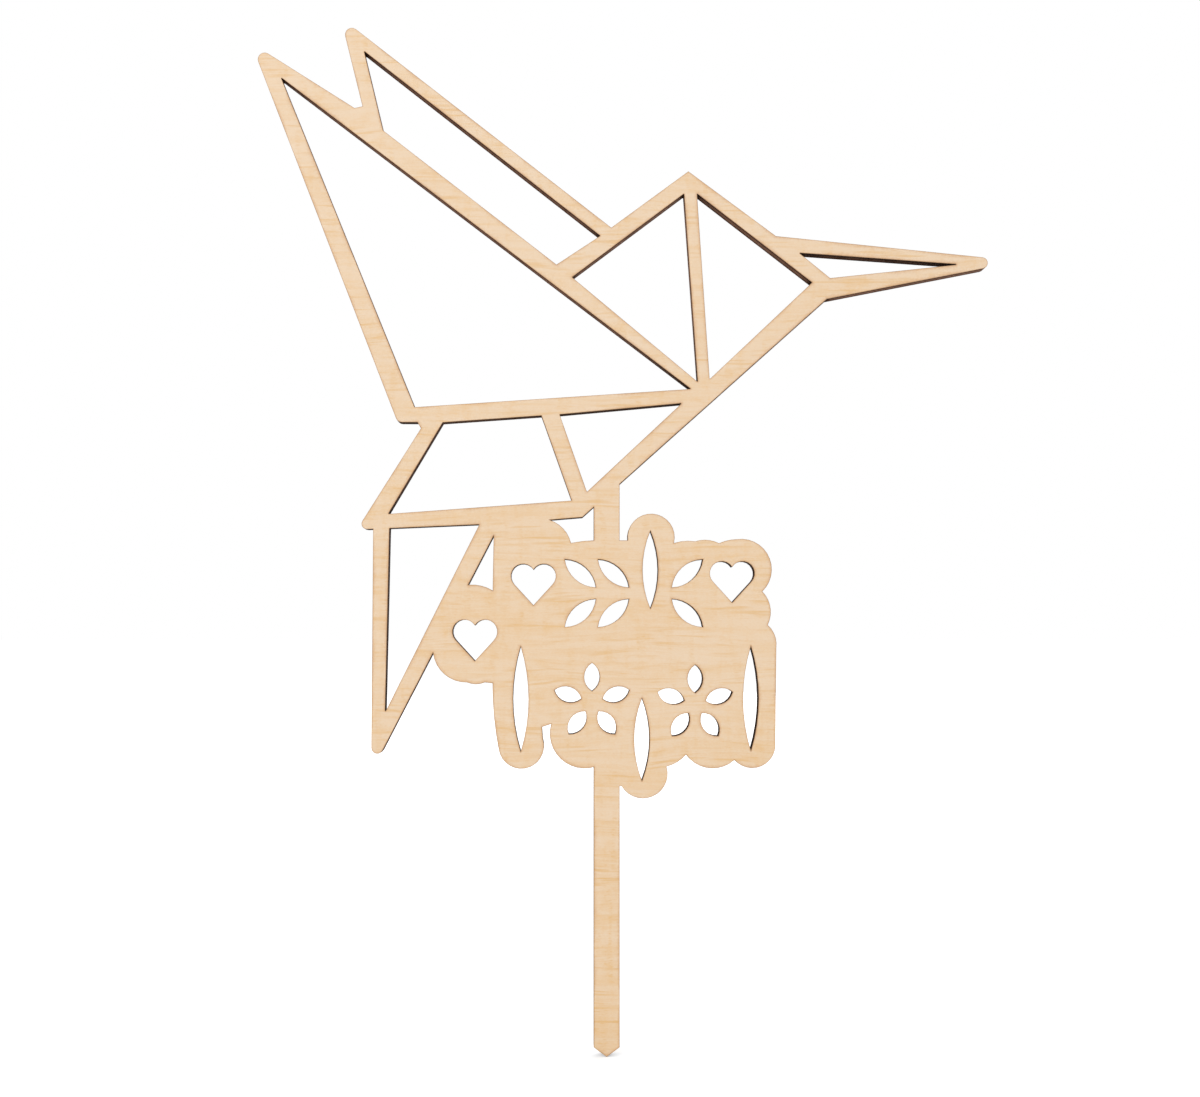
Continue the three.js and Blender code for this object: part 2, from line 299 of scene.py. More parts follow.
@dataclass(frozen=True)
class GrainLayer:
    """One layer of the figure: a noise drawn out along the grain.

    Attributes:
        length_mm: its size along the grain.
        pitch_mm: its size across the grain.
        detail: how many finer layers it has.
        roughness: how much each finer layer counts.
        slice_at: which slice of the noise it takes, so that no two layers are alike.
        fade: between which values of the noise it comes in.
        share: how much of it goes into the figure.
    """

    length_mm: float
    pitch_mm: float
    detail: float
    roughness: float
    slice_at: float
    fade: Span = FULL
    share: float = 1.0

    def read(self, bench: Bench, along: Socket, across: Socket, seed: Socket) -> Socket:
        """Adds the layer's noise.

        Args:
            bench: the bench on the group's tree.
            along: the place along the grain, in millimetres.
            across: the place across the grain, in millimetres.
            seed: the sheet's own offset, the same for all layers.

        Returns:
            The bare noise, before it fades in.
        """
        lengths = bench.calc("DIVIDE", along, self.length_mm)
        pitches = bench.calc("DIVIDE", across, self.pitch_mm)
        place = bench.joined(lengths, bench.calc("ADD", seed, self.slice_at), pitches)
        return bench.noise(place, self.detail, self.roughness)


@dataclass(frozen=True)
class VeneerFigure(GroupRecipe):
    """The figure of pale peeled birch: a soft drift of tone, honey streaks in groups, flecks and fibres, and
    a warmer, darker tone towards the bottom, partly wood tone and partly painted shade.

    Attributes:
        wander: how the grain itself waves.
        wander_reach_mm: how far it waves.
        drift: the broadest changes of tone.
        bands: narrower ones that follow the grain.
        blotches: small soft ones.
        groups: where the streaks gather.
        group_shares: how strong they are outside a group and inside it.
        streaks: the thin golden streaks.
        columns: the upright places where the flecks gather.
        flecks: the short golden flecks.
        fibres: the finest lines along the grain.
        pores: the finest dots.
        painted_shade_heights_mm: from which height to which the honey tone fades, partly wood tone and partly
            painted shade of light falling off towards the bottom.
        honey_and_shade_shares: the honey tone at those two heights, painted shade included.
        bold_figure_mm: from which height to which the figure grows fainter.
        bold_shares: how bold it is at those two heights.
        mark_height_share: how much streaks and flecks stand out over the fibres, less than 0 as they sink.
    """

    name = "veneer_figure"
    ports_in = (
        Port("Position", "NodeSocketVector"),
        Port("Seed", "NodeSocketFloat", 0.0),
        Port("Pale", "NodeSocketColor"),
        Port("Honey", "NodeSocketColor"),
        Port("Streak", "NodeSocketColor"),
        Port("Streak Share", "NodeSocketFloat", 0.54),
    )
    ports_out = (
        Port("Color", "NodeSocketColor"),
        Port("Height", "NodeSocketFloat"),
    )

    wander: GrainLayer = GrainLayer(34.0, 11.0, 1.0, 0.5, 3.1)
    wander_reach_mm: float = 4.2
    drift: GrainLayer = GrainLayer(46.0, 15.0, 2.0, 0.5, 11.7, fade=(0.3, 0.7), share=0.1)
    bands: GrainLayer = GrainLayer(24.0, 1.5, 2.0, 0.55, 19.3, fade=(0.38, 0.66), share=0.22)
    blotches: GrainLayer = GrainLayer(3.6, 2.3, 2.0, 0.55, 51.7, fade=(0.52, 0.74), share=0.2)
    groups: GrainLayer = GrainLayer(15.0, 5.0, 1.0, 0.5, 27.9, fade=(0.4, 0.62))
    group_shares: Span = (0.3, 1.0)
    streaks: GrainLayer = GrainLayer(8.5, 0.45, 2.0, 0.5, 35.5, fade=(0.5, 0.7))
    columns: GrainLayer = GrainLayer(1.7, 9.0, 1.0, 0.5, 75.3, fade=(0.5, 0.7), share=0.09)
    flecks: GrainLayer = GrainLayer(1.8, 0.3, 1.0, 0.5, 43.1, fade=(0.5, 0.72), share=0.7)
    fibres: GrainLayer = GrainLayer(3.2, 0.14, 3.0, 0.6, 59.3, share=0.6)
    pores: GrainLayer = GrainLayer(0.55, 0.32, 2.0, 0.6, 67.1, share=0.7)
    painted_shade_heights_mm: Span = (40.0, 190.0)
    honey_and_shade_shares: Span = (0.23, 0.07)
    bold_figure_mm: Span = (45.0, 75.0)
    bold_shares: Span = (1.25, 1.0)
    mark_height_share: float = -0.5

    def build(self, bench: Bench, given: Mapping[str, Socket]) -> dict[str, Socket]:
        """Adds the figure's nodes.

        Args:
            bench: the bench on the group's tree.
            given: the group's inputs by name.

        Returns:
            The wood's colour, and its height, which is highest on the fibres.
        """
        parts = bench.split(bench.scaled(given["Position"], MM_PER_METRE))
        along, up = parts["X"], parts["Z"]
        wander = bench.calc("SUBTRACT", self.wander.read(bench, along, up, given["Seed"]), NOISE_MIDDLE)
        across = bench.calc("ADD", up, bench.calc("MULTIPLY", wander, self.wander_reach_mm))

        def layer(grain: GrainLayer) -> Socket:
            """Returns one layer's bare noise along the wandering grain."""
            return grain.read(bench, along, across, given["Seed"])

        def shown(grain: GrainLayer, shares: Span = FULL) -> Socket:
            """Returns one layer as it fades in from the first share to the second."""
            return bench.ramp(layer(grain), grain.fade, shares)

        columns = shown(self.columns)
        fibres = layer(self.fibres)
        bold = bench.ramp(up, self.bold_figure_mm, self.bold_shares)
        uneven: Feed = 0.0
        for grain in (self.drift, self.bands, self.blotches):
            uneven = bench.calc("MULTIPLY_ADD", shown(grain), grain.share, uneven)
        # The honey tone grows towards the bottom: partly wood tone, partly painted shade of light falling off
        # lower on the sheet.
        honey = bench.ramp(up, self.painted_shade_heights_mm, self.honey_and_shade_shares)
        honey = bench.calc("MULTIPLY_ADD", uneven, bold, honey)
        honey = bench.calc("MULTIPLY_ADD", columns, self.columns.share, honey)
        for noise, share in ((fibres, self.fibres.share), (layer(self.pores), self.pores.share)):
            honey = bench.calc("MULTIPLY_ADD", bench.calc("SUBTRACT", noise, NOISE_MIDDLE), share, honey)
        tone = bench.blend(bench.ramp(honey, FULL), given["Pale"], given["Honey"])
        streaks = bench.calc("MULTIPLY", shown(self.streaks), shown(self.groups, self.group_shares))
        flecks = bench.calc("MULTIPLY", shown(self.flecks), columns)
        marks = bench.calc("MAXIMUM", streaks, bench.calc("MULTIPLY", flecks, self.flecks.share))
        marks = bench.calc("MULTIPLY", marks, given["Streak Share"])
        marks = bench.calc("MULTIPLY", marks, bold)
        height = bench.calc("MULTIPLY_ADD", marks, self.mark_height_share, fibres)
        return {"Color": bench.blend(marks, tone, given["Streak"]), "Height": height}


@dataclass(frozen=True)
class Mottle:
    """Patches of one size in all directions.

    Attributes:
        size_mm: how large they are.
        detail: how many finer layers they have.
        fade: between which values of the noise they change.
        shares: what they come to at those two values.
        roughness: how much each finer layer counts.
    """

    size_mm: float
    detail: float
    fade: Span
    shares: Span = FULL
    roughness: float = 0.5

    def noise(self, bench: Bench, place: Socket) -> Socket:
        """Returns the bare noise at a place in millimetres."""
        return bench.noise(bench.scaled(place, 1 / self.size_mm), self.detail, self.roughness)

    def read(self, bench: Bench, place: Socket) -> Socket:
        """Returns the patches at a place in millimetres."""
        return bench.ramp(self.noise(bench, place), self.fade, self.shares)


@dataclass(frozen=True)
class LaserScorch(GroupRecipe):
    """The burn that a laser leaves on the face beside its cut: a thin char and a wider toasted haze.

    Attributes:
        patches: where the burn reaches further, and where less far.
        ripples: the same along the cut, in small.
        corner_spread_share: how much further it reaches at a sharp corner.
    """

    name = "laser_scorch"
    ports_in = (
        Port("Position", "NodeSocketVector"),
        Port("Edge Distance", "NodeSocketFloat"),
        Port("Dwell", "NodeSocketFloat"),
        Port("Char Reach", "NodeSocketFloat", 0.07),
        Port("Toast Reach", "NodeSocketFloat", 0.32),
    )
    ports_out = (
        Port("Char", "NodeSocketFloat"),
        Port("Toast", "NodeSocketFloat"),
    )

    patches: Mottle = Mottle(8.0, 1.0, fade=(0.33, 0.67), shares=(0.35, 1.4))
    ripples: Mottle = Mottle(0.45, 1.0, fade=(0.3, 0.7), shares=(0.8, 1.2))
    corner_spread_share: float = 0.25

    def build(self, bench: Bench, given: Mapping[str, Socket]) -> dict[str, Socket]:
        """Adds the burn's nodes.

        Args:
            bench: the bench on the group's tree.
            given: the group's inputs by name.

        Returns:
            The masks of the burnt line and of the haze.
        """
        place = bench.scaled(given["Position"], MM_PER_METRE)
        distance = bench.calc("MULTIPLY", given["Edge Distance"], MM_PER_METRE)
        uneven = bench.calc("MULTIPLY", self.patches.read(bench, place), self.ripples.read(bench, place))
        slowed = bench.calc("MULTIPLY_ADD", given["Dwell"], self.corner_spread_share, 1.0)
        spread = bench.calc("MULTIPLY", uneven, slowed)

        def mask(reach: Socket) -> Socket:
            """Returns a mask that fades from the cut to about the given reach."""
            ratio = bench.calc("DIVIDE", distance, bench.calc("MULTIPLY", reach, spread))
            return bench.calc("EXPONENT", bench.calc("MULTIPLY", bench.calc("MULTIPLY", ratio, ratio), -1.0))

        return {"Char": mask(given["Char Reach"]), "Toast": mask(given["Toast Reach"])}


@dataclass(frozen=True)
class LaserKerf(GroupRecipe):
    """The burnt wall of a laser cut: fine lines through the thickness, and soot.

    The soot lies in patches, at corners where the laser dwells, and where a small opening holds the smoke.
    The walls are also darker towards the bottom of the sheet.

    Attributes:
        line_mm: how far apart the lines are.
        line_depth_mm: how far into the sheet a line keeps its strength.
        line_detail: how many finer layers the lines have.
        line_roughness: how much each finer layer counts.
        line_fade: between which values of the lines' noise their soot comes in.
        line_soot_share: how sooty the lines are.
        patches: the patches of soot.
        patch_soot_share: how sooty they are.
        corner_soot_share: how sooty a sharp corner is.
        smoke_soot_share: how sooty the smallest openings are.
        darker_below_mm: from which height to which the walls' darkening towards the bottom fades.
        darker_below_shares: how dark the walls are at those two heights.
        pale_fade: from which value of both noises down to which the wood grows paler.
        tan_share: how much of the paler colour shows there.
    """

    name = "laser_kerf"
    ports_in = (
        Port("Position", "NodeSocketVector"),
        Port("Dwell", "NodeSocketFloat"),
        Port("Smoke", "NodeSocketFloat"),
        Port("Seed", "NodeSocketFloat", 0.0),
        Port("Brown", "NodeSocketColor"),
        Port("Soot", "NodeSocketColor"),
        Port("Tan", "NodeSocketColor"),
    )
    ports_out = (
        Port("Color", "NodeSocketColor"),
        Port("Height", "NodeSocketFloat"),
    )

    line_mm: float = 0.2
    line_depth_mm: float = 5.0
    line_detail: float = 2.0
    line_roughness: float = 0.6
    line_fade: Span = (0.4, 0.72)
    line_soot_share: float = 0.28
    patches: Mottle = Mottle(4.0, 2.0, fade=(0.42, 0.72))
    patch_soot_share: float = 0.32
    corner_soot_share: float = 0.9
    smoke_soot_share: float = 0.6
    darker_below_mm: Span = (128.0, 158.0)
    darker_below_shares: Span = (0.75, 0.0)
    pale_fade: Span = (0.5, 0.3)
    tan_share: float = 0.6

    def build(self, bench: Bench, given: Mapping[str, Socket]) -> dict[str, Socket]:
        """Adds the wall's nodes.

        Args:
            bench: the bench on the group's tree.
            given: the group's inputs by name.

        Returns:
            The wall's colour, and its height, which follows the lines.
        """
        place = bench.scaled(given["Position"], MM_PER_METRE)
        parts = bench.split(place)
        deep = bench.calc("ADD", bench.calc("DIVIDE", parts["Y"], self.line_depth_mm), given["Seed"])
        right, up = (bench.calc("DIVIDE", parts[axis], self.line_mm) for axis in "XZ")
        lines = bench.noise(bench.joined(right, deep, up), self.line_detail, self.line_roughness)
        patches = self.patches.noise(bench, place)
        # The walls start darker towards the bottom of the sheet, and the soot of the lines, patches, corners
        # and small openings adds to that.
        soot = bench.ramp(parts["Z"], self.darker_below_mm, self.darker_below_shares)
        for mask, share in (
            (bench.ramp(lines, self.line_fade), self.line_soot_share),
            (bench.ramp(patches, self.patches.fade), self.patch_soot_share),
            (given["Dwell"], self.corner_soot_share),
            (given["Smoke"], self.smoke_soot_share),
        ):
            soot = bench.calc("MULTIPLY_ADD", mask, share, soot)
        soot = bench.calc("MINIMUM", soot, 1.0)
        pale = bench.calc("MULTIPLY", bench.ramp(lines, self.pale_fade), bench.ramp(patches, self.pale_fade))
        wood = bench.blend(bench.calc("MULTIPLY", pale, self.tan_share), given["Brown"], given["Tan"])
        return {"Color": bench.blend(soot, wood, given["Soot"]), "Height": lines}


def object_place(bench: Bench) -> Socket:
    """Returns the place on the object itself, which every pattern here is read at."""
    return bench.add("ShaderNodeTexCoord").outputs["Object"]


def carried(bench: Bench, name: str) -> Socket:
    """Returns a value that the mesh carries under a name."""
    return bench.add("ShaderNodeAttribute", attribute_name=name).outputs["Fac"]


def blank_material(name: str) -> tuple[bpy.types.Material, Bench, bpy.types.Node]:
    """Makes a material with one Principled shader and nothing else.

    Args:
        name: the material's name.

    Returns:
        The material, the bench on its tree, and the shader.
    """
    material = bpy.data.materials.new(name)
    material.use_nodes = True
    material.node_tree.nodes.clear()
    bench = Bench(material.node_tree)
    shader = bench.add("ShaderNodeBsdfPrincipled")
    bench.add("ShaderNodeOutputMaterial", {"Surface": shader.outputs[0]})
    return material, bench, shader


@dataclass(frozen=True)
class Surface:
    """How matt, how deep and how glossy a piece of wood is.

    Attributes:
        roughness: how matt it is on average.
        swing: how much more or less matt it is on its heights and in its hollows.
        depth_mm: how deep its lines are.
        bump_share: how strongly they show.
        specular_share: how much it shines.
    """

    roughness: float
    swing: float
    depth_mm: float
    bump_share: float
    specular_share: float

    # Between which heights of the finish its gloss changes
    heights = (0.2, 0.8)

    def dress(self, bench: Bench, shader: bpy.types.Node, colour: Socket, height: Socket) -> None:
        """Gives a shader its colour, its relief and its gloss.

        Args:
            bench: the bench on the material's tree.
            shader: the Principled shader.
            colour: the finish's colour.
            height: the finish's height, which also sets how matt it is.
        """
        relief = {"Strength": self.bump_share, "Distance": self.depth_mm / MM_PER_METRE, "Height": height}
        matt = bench.ramp(height, self.heights, (self.roughness - self.swing, self.roughness + self.swing))
        bench.feed(shader.inputs["Base Color"], colour)
        bench.feed(shader.inputs["Roughness"], matt)
        bench.feed(shader.inputs["Normal"], bench.made("ShaderNodeBump", relief))
        bench.feed(shader.inputs["Specular IOR Level"], self.specular_share)


BARE_WOOD = Surface(roughness=0.62, swing=0.06, depth_mm=0.012, bump_share=0.5, specular_share=0.28)
BURNT_WOOD = Surface(roughness=0.75, swing=0.1, depth_mm=0.02, bump_share=0.6, specular_share=0.01)
BURNT_GLUE = replace(BURNT_WOOD, roughness=0.6)


@dataclass(frozen=True)
class Finish:
    """A material that is mixed once and kept under its name.

    Attributes:
        name: the material's name.
        surface: how matt, deep and glossy it is.
    """

    name: str
    surface: Surface

    def material(self) -> bpy.types.Material:
        """Returns the finish as a material, mixed on the first call."""
        return bpy.data.materials.get(self.name) or self._mixed()

    def _mixed(self) -> bpy.types.Material:
        """Mixes the finish.

        Returns:
            Its new material.
        """
        material, bench, shader = blank_material(self.name)
        self.surface.dress(bench, shader, *self.pattern(bench))
        return material

    def pattern(self, bench: Bench) -> tuple[Socket, Socket]:
        """Adds the finish's own pattern and returns its colour and its height."""
        raise NotImplementedError


@dataclass(frozen=True)
class FaceFinish(Finish):
    """Bare birch veneer, with the burn along its cut edge.

    Attributes:
        pale: the palest wood, high on the sheet, where the painted shade is least.
        honey: the warmer wood between, which also carries the painted shade lower on the sheet.
        streak: the golden streaks and flecks.
        toast: the haze beside the cut.
        char: the thin burnt line at the cut.
        seed: which piece of veneer it is.
        toast_share: how much of the haze shows.
        char_share: how much of the burnt line shows.
    """

    pale: Colour
    honey: Colour
    streak: Colour
    toast: Colour
    char: Colour
    seed: float
    toast_share: float = 0.6
    char_share: float = 0.5

    def pattern(self, bench: Bench) -> tuple[Socket, Socket]:
        """Adds the figure and the burn over it.

        Args:
            bench: the bench on the material's tree.

        Returns:
            The face's colour and its height.
        """
        place = object_place(bench)
        wood = {"Pale": self.pale.linear(), "Honey": self.honey.linear(), "Streak": self.streak.linear()}
        figure = VeneerFigure().place(bench, {"Position": place, "Seed": self.seed, **wood})
        cut = {"Edge Distance": carried(bench, EDGE_DISTANCE), "Dwell": carried(bench, DWELL)}
        burn = LaserScorch().place(bench, {"Position": place, **cut})
        toast = bench.calc("MULTIPLY", burn["Toast"], self.toast_share)
        char = bench.calc("MULTIPLY", burn["Char"], self.char_share)
        toasted = bench.blend(toast, figure["Color"], self.toast.linear())
        return bench.blend(char, toasted, self.char.linear()), figure["Height"]


@dataclass(frozen=True)
class KerfFinish(Finish):
    """The laser-burnt wall of one ply.

    Attributes:
        brown: most of the wall.
        soot: its burnt lines and patches, the corners and the small openings, and the walls' darkening
            towards the bottom.
        tan: where the wood stayed paler.
        seed: which stretch of the lines it shows.
    """

    brown: Colour
    soot: Colour
    tan: Colour
    seed: float

    def pattern(self, bench: Bench) -> tuple[Socket, Socket]:
        """Adds the burnt lines and the soot.

        Args:
            bench: the bench on the material's tree.

        Returns:
            The wall's colour and its height.
        """
        wood = {"Brown": self.brown.linear(), "Soot": self.soot.linear(), "Tan": self.tan.linear()}
        heat = {"Dwell": carried(bench, DWELL), "Smoke": carried(bench, SMOKE)}
        kerf = LaserKerf().place(bench, {"Position": object_place(bench), "Seed": self.seed, **wood, **heat})
        return kerf["Color"], kerf["Height"]


@dataclass(eq=False)
class CutOutline:
    """The line that the laser follows, as closed loops of (x, z) points in millimetres, wood on the left.

    Attributes:
        loops: the outer loop, anticlockwise from the front, and the holes, clockwise.
        same_plane_mm: how far apart the points of one plane may lie.
        mitre_limit: how many times further than an edge a corner draws back at the most.
        least_spread: how far a hairpin bend counts as open.
        batch: how many places are measured against every edge at once.
    """

    loops: Sequence[np.ndarray]
    same_plane_mm: float = 0.01
    mitre_limit: float = 2.5
    least_spread: float = 0.02
    batch: int = 400

    @classmethod
    def of_ply(cls, ply: bpy.types.Object) -> "CutOutline":
        """Reads the outline from a packed ply's front face.

        Args:
            ply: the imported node, whose mesh is loose triangles.

        Returns:
            The outline of its face that looks along -Y.
        """
        mesh = ply.data
        corners = np.empty(len(mesh.vertices) * 3, np.float32)
        mesh.vertices.foreach_get("co", corners)
        triangles = np.empty(len(mesh.polygons) * 3, np.int32)
        mesh.polygons.foreach_get("vertices", triangles)
        points, same = np.unique(corners.reshape(-1, 3), axis=0, return_inverse=True)
        triangles = same.reshape(-1)[triangles].reshape(-1, 3)
        in_front = points[:, 1] < points[:, 1].min() + cls.same_plane_mm / MM_PER_METRE
        face = triangles[in_front[triangles].all(axis=1)]
        edges = {(int(a), int(b)) for tri in face for a, b in zip(tri, np.roll(tri, -1))}
        follows = {a: b for a, b in edges if (b, a) not in edges}
        flat = points[:, [0, 2]].astype(float) * MM_PER_METRE
        loops = []
        while follows:
            start, at = follows.popitem()
            chain = [start]
            while at != start:
                chain.append(at)
                at = follows.pop(at)
            loops.append(flat[chain])
        return cls(loops)

    def divided(self, longest_mm: float) -> "CutOutline":
        """Splits the outline's edges evenly.

        Args:
            longest_mm: how long an edge may be.

        Returns:
            The same outline with more points.
        """
        made = []
        for loop in self.loops:
            stretches = []
            for start, end in zip(loop, np.roll(loop, -1, axis=0)):
                steps = max(1, math.ceil(np.linalg.norm(end - start) / longest_mm))
                shares = np.arange(steps)[:, None] / steps
                stretches.append(start + (end - start) * shares)
            made.append(np.concatenate(stretches))
        return CutOutline(made)

    def points(self) -> np.ndarray:
        """Returns all the points, loop after loop."""
        return np.concatenate(self.loops)

    def ends(self) -> np.ndarray:
        """Returns the point that follows each point."""
        return np.concatenate([np.roll(loop, -1, axis=0) for loop in self.loops])

    def edges(self) -> list[tuple[int, int]]:
        """Lists the edges.

        Returns:
            Each edge as the numbers of its two points.
        """
        made = []
        first = 0
        for loop in self.loops:
            count = len(loop)
            made += [(first + at, first + (at + 1) % count) for at in range(count)]
            first += count
        return made

    def mitres(self) -> np.ndarray:
        """Works out where each point goes when the outline draws back into the wood by one unit.

        Returns:
            One vector for each point, cut off at the mitre limit.
        """
        made = []
        for loop in self.loops:
            along = np.roll(loop, -1, axis=0) - loop
            along /= np.linalg.norm(along, axis=1)[:, None]
            inward = np.stack([-along[:, 1], along[:, 0]], axis=1)
            before = np.roll(inward, 1, axis=0)
            spread = np.maximum(1 + (inward * before).sum(axis=1), self.least_spread)
            mitre = (inward + before) / spread[:, None]
            length = np.linalg.norm(mitre, axis=1)
            made.append(mitre * np.minimum(1, self.mitre_limit / length)[:, None])
        return np.concatenate(made)

    def sharp_points(self, least_turn_degrees: float) -> np.ndarray:
        """Finds the corners where the laser has to slow down.

        Args:
            least_turn_degrees: how far the outline turns there at the least.

        Returns:
            Their points.
        """
        found = []
        for loop in self.loops:
            along = np.roll(loop, -1, axis=0) - loop
            before = np.roll(along, 1, axis=0)
            cross = before[:, 0] * along[:, 1] - before[:, 1] * along[:, 0]
            turn = np.abs(np.arctan2(cross, (before * along).sum(axis=1)))
            found.append(loop[turn > math.radians(least_turn_degrees)])
        return np.concatenate(found)

    def smoke(self, filled_mm: float, clear_mm: float) -> np.ndarray:
        """Works out how much smoke the opening at each point holds, from how wide it is.

        Args:
            filled_mm: the width at which an opening, and all smaller ones, hold it all.
            clear_mm: the width from which an opening holds none, as the outside does.

        Returns:
            One share for each point, the same all round an opening.
        """
        made = []
        for loop in self.loops:
            after = np.roll(loop, -1, axis=0)
            area = (loop[:, 0] * after[:, 1] - after[:, 0] * loop[:, 1]).sum() / 2
            # An opening's area comes out below 0, and a round one's width is four times it over its rim
            width = -4 * area / np.linalg.norm(after - loop, axis=1).sum()
            share = np.clip((clear_mm - width) / (clear_mm - filled_mm), 0, 1) if area < 0 else 0.0
            made.append(np.full(len(loop), share))
        return np.concatenate(made)

    def distance(self, places: np.ndarray) -> np.ndarray:
        """Measures how far places are from the cut.

        Args:
            places: (x, z) points.

        Returns:
            The distance of each one in millimetres.
        """
        start, edge = self.points(), self.ends() - self.points()
        squares = (edge**2).sum(axis=1)
        found = []
        for few in self._in_batches(places):
            away = few[:, None, :] - start
            share = np.clip((away * edge).sum(axis=2) / squares, 0, 1)
            found.append(np.linalg.norm(away - edge * share[:, :, None], axis=2).min(axis=1))
        return np.concatenate(found)

    def inside(self, places: np.ndarray) -> np.ndarray:
        """Tells which places are in the wood, from how many edges lie to their right.

        Args:
            places: (x, z) points.

        Returns:
            Whether each one is in the wood.
        """
        start, end = self.points(), self.ends()
        rises = np.where(start[:, 1] == end[:, 1], np.inf, end[:, 1] - start[:, 1])
        slopes = (end[:, 0] - start[:, 0]) / rises
        found = []
        for few in self._in_batches(places):
            x, z = few[:, :1], few[:, 1:]
            crosses = (start[:, 1] > z) != (end[:, 1] > z)
            right = start[:, 0] + (z - start[:, 1]) * slopes > x
            found.append((crosses & right).sum(axis=1) % 2 == 1)
        return np.concatenate(found)

    def _in_batches(self, places: np.ndarray) -> list[np.ndarray]:
        """Returns the places in batches small enough to measure against every edge at once."""
        return np.array_split(places, math.ceil(len(places) / self.batch))


@dataclass
class SheetCutter:
    """Cuts the flat sheet that every ply starts from.

    Attributes:
        outline: the line that the laser follows.
        edge_step_mm: how long an edge of the cut may be.
        rings_mm: how far from the cut the rings of points lie where the burn fades.
        ring_kept_share: how much of that distance a point of a ring must keep from every edge.
        grid_step_mm: the step of the grid between them.
        grid_clearance_mm: how far from the cut the grid ends.
        sharp_turn_degrees: from which turn on a corner is sharp.
        dwell_reach_mm: how far the laser's dwell at a corner reaches.
        smoky_widths_mm: the widths at which an opening holds all of the smoke, and none.
        weld_mm: how close together two points are one.
    """

    outline: CutOutline
    edge_step_mm: float = 1.0
    rings_mm: tuple[float, ...] = (0.15, 0.4, 1.0)
    ring_kept_share: float = 0.8
    grid_step_mm: float = 2.5
    grid_clearance_mm: float = 1.4
    sharp_turn_degrees: float = 28.0
    dwell_reach_mm: float = 0.4
    smoky_widths_mm: Span = (8.0, 18.0)
    weld_mm: float = 1e-6

    # What the triangulation is asked for: every triangle out to the hull, and where each point came from
    all_triangles = 0
    with_origins = True

    def __post_init__(self) -> None:
        """Finds the outline's sharp corners and divides its edges."""
        self.sharp = self.outline.sharp_points(self.sharp_turn_degrees)
        self.outline = self.outline.divided(self.edge_step_mm)

    def inner_points(self) -> np.ndarray:
        """Spreads points inside the wood.

        Returns:
            Rings beside the cut, where the burn fades, and a grid between them.
        """
        points, mitres = self.outline.points(), self.outline.mitres()
        kept = []
        for ring in self.rings_mm:
            kept.append(self._clear_of_cut(points + mitres * ring, ring * self.ring_kept_share))
        low, high = points.min(axis=0), points.max(axis=0)
        columns, rows = (np.arange(low[axis], high[axis], self.grid_step_mm) for axis in (0, 1))
        grid = np.stack(np.meshgrid(columns, rows), axis=-1).reshape(-1, 2)
        return np.concatenate([*kept, self._clear_of_cut(grid, self.grid_clearance_mm)])

    def _clear_of_cut(self, places: np.ndarray, clearance_mm: float) -> np.ndarray:
        """Returns the places that are in the wood and further from the cut than a clearance."""
        inside = places[self.outline.inside(places)]
        return inside[self.outline.distance(inside) > clearance_mm]

    def dwell(self, places: Iterable[Sequence[float]]) -> list[float]:
        """Works out how long the laser dwells, as it slows round each sharp corner.

        Args:
            places: (x, z) points in millimetres.

        Returns:
            A share for each place, 1 at a corner and 0 well away from it.
        """
        corners = KDTree(len(self.sharp))
        for number, (x, z) in enumerate(self.sharp):
            corners.insert((x, z, 0.0), number)
        corners.balance()
        away = [corners.find((x, z, 0.0))[2] / self.dwell_reach_mm for x, z in places]
        return [math.exp(-ratio * ratio) for ratio in away]

    def flat_mesh(self, name: str, cap: Cap) -> bpy.types.Mesh:
        """Cuts one flat sheet in the plane y = 0, facing -Y.

        Args:
            name: the mesh's name.
            cap: how finely it is divided.

        Returns:
            The mesh, in metres, with its dwell, its smoke and the way inward from its edge.
        """
        border = self.outline.points()
        places = border
        if cap is Cap.SHOWN:
            places = np.concatenate([border, self.inner_points()])
        found, _, triangles, origins, _, _ = delaunay_2d_cdt(
            [Vector(place) for place in places],
            self.outline.edges(),
            [],
            self.all_triangles,
            self.weld_mm,
            self.with_origins,
        )
        middles = np.array(found)[np.array(triangles)].mean(axis=1)
        faces = [face for face, wood in zip(triangles, self.outline.inside(middles)) if wood]
        mesh = bpy.data.meshes.new(name)
        mesh.from_pydata([(x / MM_PER_METRE, 0.0, z / MM_PER_METRE) for x, z in found], [], faces)
        inward = np.zeros((len(found), 3), np.float32)
        smoke = np.zeros(len(found), np.float32)
        mitres, smoky = self.outline.mitres(), self.outline.smoke(*self.smoky_widths_mm)
        for number, origin in enumerate(origins):
            if origin and origin[0] < len(border):
                inward[number, [0, 2]] = mitres[origin[0]]
                smoke[number] = smoky[origin[0]]
        mesh.attributes.new(INWARD, "FLOAT_VECTOR", "POINT").data.foreach_set("vector", inward.ravel())
        mesh.attributes.new(SMOKE, "FLOAT", "POINT").data.foreach_set("value", smoke)
        mesh.attributes.new(DWELL, "FLOAT", "POINT").data.foreach_set("value", self.dwell(found))
        return mesh


